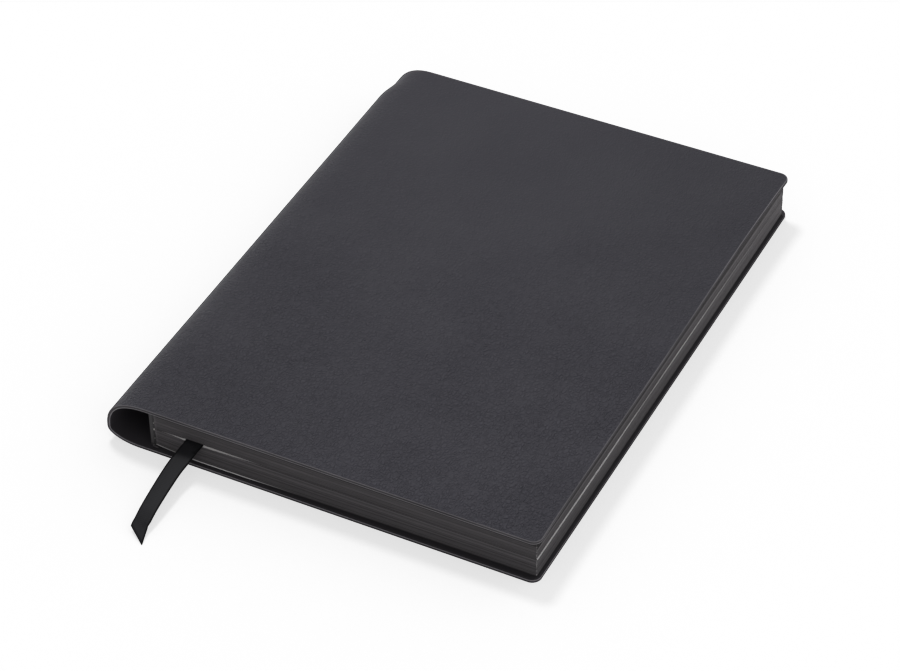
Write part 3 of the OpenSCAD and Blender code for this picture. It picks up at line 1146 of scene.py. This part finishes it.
def ribbon(material):
    """The satin ribbon: glued at the head, flat between the leaves, drooping out of the tail"""
    mouth, root = np.array(RIBBON_MOUTH), np.array(RIBBON_ROOT)
    hidden = [tuple(root + (mouth - root) * k / HIDDEN_STEPS) for k in range(HIDDEN_STEPS + 1)]
    free = RIBBON_FREE[::-1]
    line = curve_through(hidden + free[:-1] + [RIBBON_TIP], STEPS_PER_SPAN) * MM
    length = run_length(line)
    whole = length[-1]
    half_cut = CUT_LENGTH / 2
    across = np.linspace(-1, 1, RIBBON_COLUMNS)
    steps = np.linspace(0, 1, len(line))
    mouth_s = length[int(np.argmin(np.linalg.norm(line - mouth * MM, axis=1)))]
    along = unit(np.gradient(line, axis=0))
    sideways = unit(np.column_stack([-along[:, 1], along[:, 0], np.zeros(len(line))]))
    up = np.cross(sideways, along)
    up *= np.sign(up[:, 2:3])
    top, under, flat_top = [], [], []
    for c in across:
        reach = whole - half_cut * (1 - c)
        s = steps * reach
        centre, side, lift = (
            np.column_stack([np.interp(s, length, values[:, k]) for k in range(3)])
            for values in (line, sideways, up)
        )
        past = s - mouth_s
        spread = np.interp(past, np.array(SPREAD_AT) * MM, SPREAD)[:, None]
        sag = CUP * c**2 * smooth(past / CUP_REACH)[:, None]
        base = centre + side * c * spread * RIBBON_W / 2 - lift * sag
        rim = RIBBON_T / 2 * (0.75 + 0.25 * (1 - abs(c)) ** 0.3)
        top.append(base + lift * rim)
        under.append(base - lift * rim)
        flat_top.append(np.column_stack([s, np.full(len(s), c * RIBBON_W / 2), np.zeros(len(s))]))
    ring = np.array(top + under[::-1])
    flat = np.array(flat_top + flat_top[::-1])
    n_ring, n_line = ring.shape[:2]
    numbers = np.arange(n_ring * n_line).reshape(n_ring, n_line)
    after = np.roll(numbers, -1, axis=0)
    faces = quads(numbers[:, :-1], numbers[:, 1:], after[:, 1:], after[:, :-1])
    half = n_ring // 2
    for end, turn in ((0, -1), (n_line - 1, 1)):
        for k in range(half - 1):
            around = (k, n_ring - 1 - k, n_ring - 2 - k, k + 1)
            faces.append([int(numbers[j, end]) for j in around[::turn]])
    piece = make_piece(
        "ribbon", ring.reshape(-1, 3), faces, [material], [0] * len(faces), flat.reshape(-1, 3)
    )
    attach(piece, BLOCK)
    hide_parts("ribbon_marker")


# Spine lining

SOFT_EDGE = 0.08 * MM


def spine_lining(cloth, card):
    """The card and the cloth on the backs of the leaves keep their own solids"""
    for name, material in (("spine_mull", cloth), ("spine_lining", card)):
        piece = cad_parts[name]
        piece.data.materials.clear()
        piece.data.materials.append(material)
        soften = piece.modifiers.new("soft_edges", "BEVEL")
        soften.width = SOFT_EDGE
        soften.segments = 2


# Glue and fray

# Beads of glue at the tail end of the spine, the first also painted as a glint: centre and half sizes
# in millimetres
BEADS = (
    ((-64.9, -105.05, 8.8), (0.16, 0.14, 0.42)),
    ((-64.9, -105.0, 11.6), (0.07, 0.06, 0.2)),
    ((-64.9, -105.0, 4.6), (0.07, 0.06, 0.25)),
)
# The frayed end of the card, which lies on the endpaper
FRAY = (
    ((-64.4, -105.75, 1.5), (1.2, 0.4, 0.24)),
    ((-65.4, -105.3, 1.75), (0.5, 0.4, 0.4)),
)


def beads(name, parts, material):
    """Small uneven lumps as one piece"""
    bm = bmesh.new()
    for number, (centre, half) in enumerate(parts):
        made = bmesh.ops.create_icosphere(bm, subdivisions=3, radius=1)
        for vert in made["verts"]:
            ripple = 1 + 0.12 * math.sin(5 * vert.co.z + number) * math.cos(4 * vert.co.x)
            vert.co = Vector([MM * (c + h * k * ripple) for c, h, k in zip(centre, half, vert.co)])
    mesh = bpy.data.meshes.new(name)
    bm.to_mesh(mesh)
    bm.free()
    mesh.materials.append(material)
    mesh.polygons.foreach_set("use_smooth", np.ones(len(mesh.polygons), bool))
    piece = bpy.data.objects.new(name, mesh)
    bpy.context.scene.collection.objects.link(piece)
    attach(piece, BLOCK)


# Stage

# Light of the floor's own, which keeps the shadow pale
FLOOR_GLOW = 1.6
# Light that tops up the floor to white in reflections
FLOOR_SHINE = 0.35
FLOOR_SIZE = 6


def stage():
    """A white floor that only takes shadows"""
    bpy.ops.mesh.primitive_plane_add(size=FLOOR_SIZE, location=(0, 0, 0))
    floor = bpy.context.object
    floor.name = "floor"
    floor.is_shadow_catcher = True
    material, tree, shader = new_material("floor_white")
    shader.inputs["Base Color"].default_value = (0.9, 0.9, 0.9, 1)
    shader.inputs["Roughness"].default_value = 0.9
    shader.inputs["Emission Color"].default_value = (1, 1, 1, 1)
    rays = node(tree, "ShaderNodeLightPath").outputs
    mirrored = math_node(tree, "MAXIMUM", rays["Is Glossy Ray"], rays["Is Transmission Ray"])
    glow = weighted(tree, (rays["Is Camera Ray"], FLOOR_GLOW), (mirrored, FLOOR_SHINE))
    tree.links.new(glow, shader.inputs["Emission Strength"])
    floor.data.materials.append(material)


# Strength of the surround where nothing sees it directly
AMBIENT = 0.57
# The surround is brighter beyond the fore edge and the head
BRIGHT_SIDE = (0.85, 0.53, 0)
SIDE_SHARE = 0.6
KEY_POWER = 8.5
KEY_SIZE = 0.28
KEY_AT = (-0.42, 0.36, 1.2)


def lights():
    """A soft key from behind the spine, in an even white surround"""
    world = bpy.data.worlds.new("surround")
    bpy.context.scene.world = world
    world.use_nodes = True
    tree = world.node_tree
    background = tree.nodes["Background"]
    background.inputs["Color"].default_value = (1, 1, 1, 1)
    rays = node(tree, "ShaderNodeLightPath").outputs
    seen = math_node(tree, "MAXIMUM", rays["Is Camera Ray"], rays["Is Transmission Ray"])
    seen = math_node(tree, "MAXIMUM", seen, rays["Is Glossy Ray"])
    way = node(tree, "ShaderNodeTexCoord").outputs["Generated"]
    side = vector_math(tree, "DOT_PRODUCT", way, BRIGHT_SIDE).outputs["Value"]
    even = plus(tree, times(tree, side, AMBIENT * SIDE_SHARE), AMBIENT)
    hidden = times(tree, math_node(tree, "SUBTRACT", 1.0, seen), even)
    tree.links.new(plus(tree, hidden, seen), background.inputs["Strength"])
    data = bpy.data.lights.new("key", "AREA")
    data.energy = KEY_POWER
    data.shape = "DISK"
    data.size = KEY_SIZE
    lamp = bpy.data.objects.new("key", data)
    lamp.location = KEY_AT
    lamp.rotation_mode = "QUATERNION"
    lamp.rotation_quaternion = Vector(KEY_AT).to_track_quat("Z", "Y")
    bpy.context.scene.collection.objects.link(lamp)


make_camera()
ribbon(satin())
sheet_materials = [cover_leather(), cut_edge(), sheet_backing()]
front_skin(sheet_materials)
back_skin(sheet_materials)
endpapers(black_paper())
leaves(leaf_edges())
card = lining_card()
spine_lining(glued_cloth(), card)
beads("glue_beads", BEADS, glue_and_glint())
beads("card_fray", FRAY, card)
stage()
lights()
bpy.context.scene.view_settings.view_transform = "Standard"
